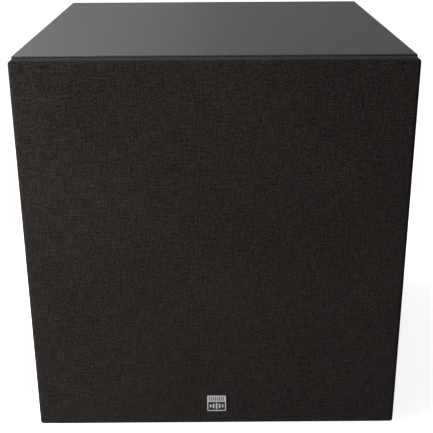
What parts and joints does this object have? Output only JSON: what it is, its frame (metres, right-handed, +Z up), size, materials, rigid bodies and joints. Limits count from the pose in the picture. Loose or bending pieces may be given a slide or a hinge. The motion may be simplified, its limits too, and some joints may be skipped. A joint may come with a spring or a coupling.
{
  "type": "subwoofer",
  "caption": "Powered ported subwoofer: boxed cabinet on rubber feet with a pull-off cloth grille over a large cone driver, a rear flared port and a plate amplifier with knobs and switches.",
  "frame": {"origin": "on the floor plane under the middle of the object, between the grille's front and the knobs' ends", "axes": "+X to the right seen from the grille side, +Y towards the amplifier at the back, +Z up"},
  "size_m": [0.38, 0.4226, 0.405],
  "materials": {
    "vinyl_wrap": "satin",
    "mdf": "matte",
    "baffle_paint": "matte",
    "grille_mdf": "matte",
    "grille_fabric": "matte",
    "wadding": "matte",
    "abs_black": "matte",
    "abs_gloss": "gloss",
    "foot_rubber": "matte",
    "trim_rubber": "satin",
    "roll_rubber": "satin",
    "gasket_foam": "matte",
    "screw_black": "satin",
    "screw_zinc": "satin",
    "basket_steel": "satin",
    "plated_steel": "satin",
    "ferrite": "matte",
    "cone_pulp": "matte",
    "cap_pulp": "satin",
    "former_film": "satin",
    "copper_wire": "satin",
    "spider_cloth": "matte",
    "tinsel": "satin",
    "phenolic": "matte",
    "wire_insulation": "satin",
    "amp_steel": "satin",
    "anodised": "satin",
    "board_green": "satin",
    "can_sleeve": "satin",
    "epoxy_black": "matte",
    "tape_yellow": "satin",
    "shaft_steel": "satin",
    "jack_plate": "polished",
    "led_lens": "gloss",
    "fuse_glass": "gloss",
    "badge_metal": "satin"
  },
  "bodies": {
    "cabinet": {"acoustic_wadding": "wadding", "amp_gasket": "gasket_foam", "amp_plate": "amp_steel", "amp_screws": "screw_black", "back_panel": "vinyl_wrap", "bottom_panel": "vinyl_wrap", "control_board": "board_green", "corner_cleats": "mdf", "driver_basket": "basket_steel", "driver_gasket": "gasket_foam", "driver_screws": "screw_black", "driver_terminals": "phenolic", "driver_trim_ring": "trim_rubber", "filter_capacitors": "can_sleeve", "foot_screws": "screw_zinc", "front_baffle": "baffle_paint", "grille_sockets": "foot_rubber", "heat_sink": "anodised", "left_side_panel": "vinyl_wrap", "line_input_jacks": "jack_plate", "magnet_boot": "trim_rubber", "magnet_ring": "ferrite", "magnet_top_plate": "plated_steel", "magnet_yoke": "plated_steel", "mains_inlet": "abs_black", "mains_switch_housing": "abs_black", "output_transistors": "epoxy_black", "port_flare": "abs_black", "port_tube": "abs_black", "potentiometers": "plated_steel", "power_board": "board_green", "right_side_panel": "vinyl_wrap", "rubber_feet": "foot_rubber", "slide_switch_bodies": "abs_black", "spider": "spider_cloth", "status_led": "led_lens", "surround": "roll_rubber", "tinsel_leads": "tinsel", "top_panel": "vinyl_wrap", "toroidal_transformer": "tape_yellow", "transformer_clamp": "plated_steel", "window_brace": "mdf", "wiring_loom": "wire_insulation"},
    "grille": {"grille_frame": "grille_mdf", "grille_cloth": "grille_fabric", "grille_pegs": "abs_black", "badge": "badge_metal"},
    "cone_assembly": {"cone": "cone_pulp", "dust_cap": "cap_pulp", "voice_coil_former": "former_film", "voice_coil": "copper_wire"},
    "level_control": {"level_knob": "abs_black", "level_shaft": "shaft_steel"},
    "crossover_control": {"crossover_knob": "abs_black", "crossover_shaft": "shaft_steel"},
    "phase_switch": {"phase_slider": "abs_gloss"},
    "power_mode_switch": {"mode_slider": "abs_gloss"},
    "mains_switch": {"mains_rocker": "abs_gloss"},
    "fuse_holder": {"fuse_drawer": "abs_black", "fuse": "fuse_glass"}
  },
  "joints": [
    {"name": "grille_pull", "type": "slide", "parent": "cabinet", "child": "grille", "axis": [0, -1, 0], "range_m": [0, 0.1]},
    {"name": "cone_excursion", "type": "slide", "parent": "cabinet", "child": "cone_assembly", "axis": [0, -1, 0], "range_m": [-0.008, 0.008], "stiffness_N_per_m": 2500, "deforming": ["surround", "spider", "tinsel_leads"]},
    {"name": "level_turn", "type": "hinge", "parent": "cabinet", "child": "level_control", "pos_m": [0.088, 0.19475, 0.209], "axis": [0, 1, 0], "range_deg": [-150, 150]},
    {"name": "crossover_turn", "type": "hinge", "parent": "cabinet", "child": "crossover_control", "pos_m": [0.038, 0.19475, 0.209], "axis": [0, 1, 0], "range_deg": [-150, 150]},
    {"name": "phase_slide", "type": "slide", "parent": "cabinet", "child": "phase_switch", "axis": [-1, 0, 0], "range_m": [0, 0.004]},
    {"name": "mode_slide", "type": "slide", "parent": "cabinet", "child": "power_mode_switch", "axis": [-1, 0, 0], "range_m": [-0.004, 0.004]},
    {"name": "mains_rock", "type": "hinge", "parent": "cabinet", "child": "mains_switch", "pos_m": [-0.038, 0.19075, 0.089], "axis": [1, 0, 0], "range_deg": [0, 20]},
    {"name": "fuse_drawer_slide", "type": "slide", "parent": "cabinet", "child": "fuse_holder", "axis": [0, 1, 0], "range_m": [0, 0.016]}
  ]
}
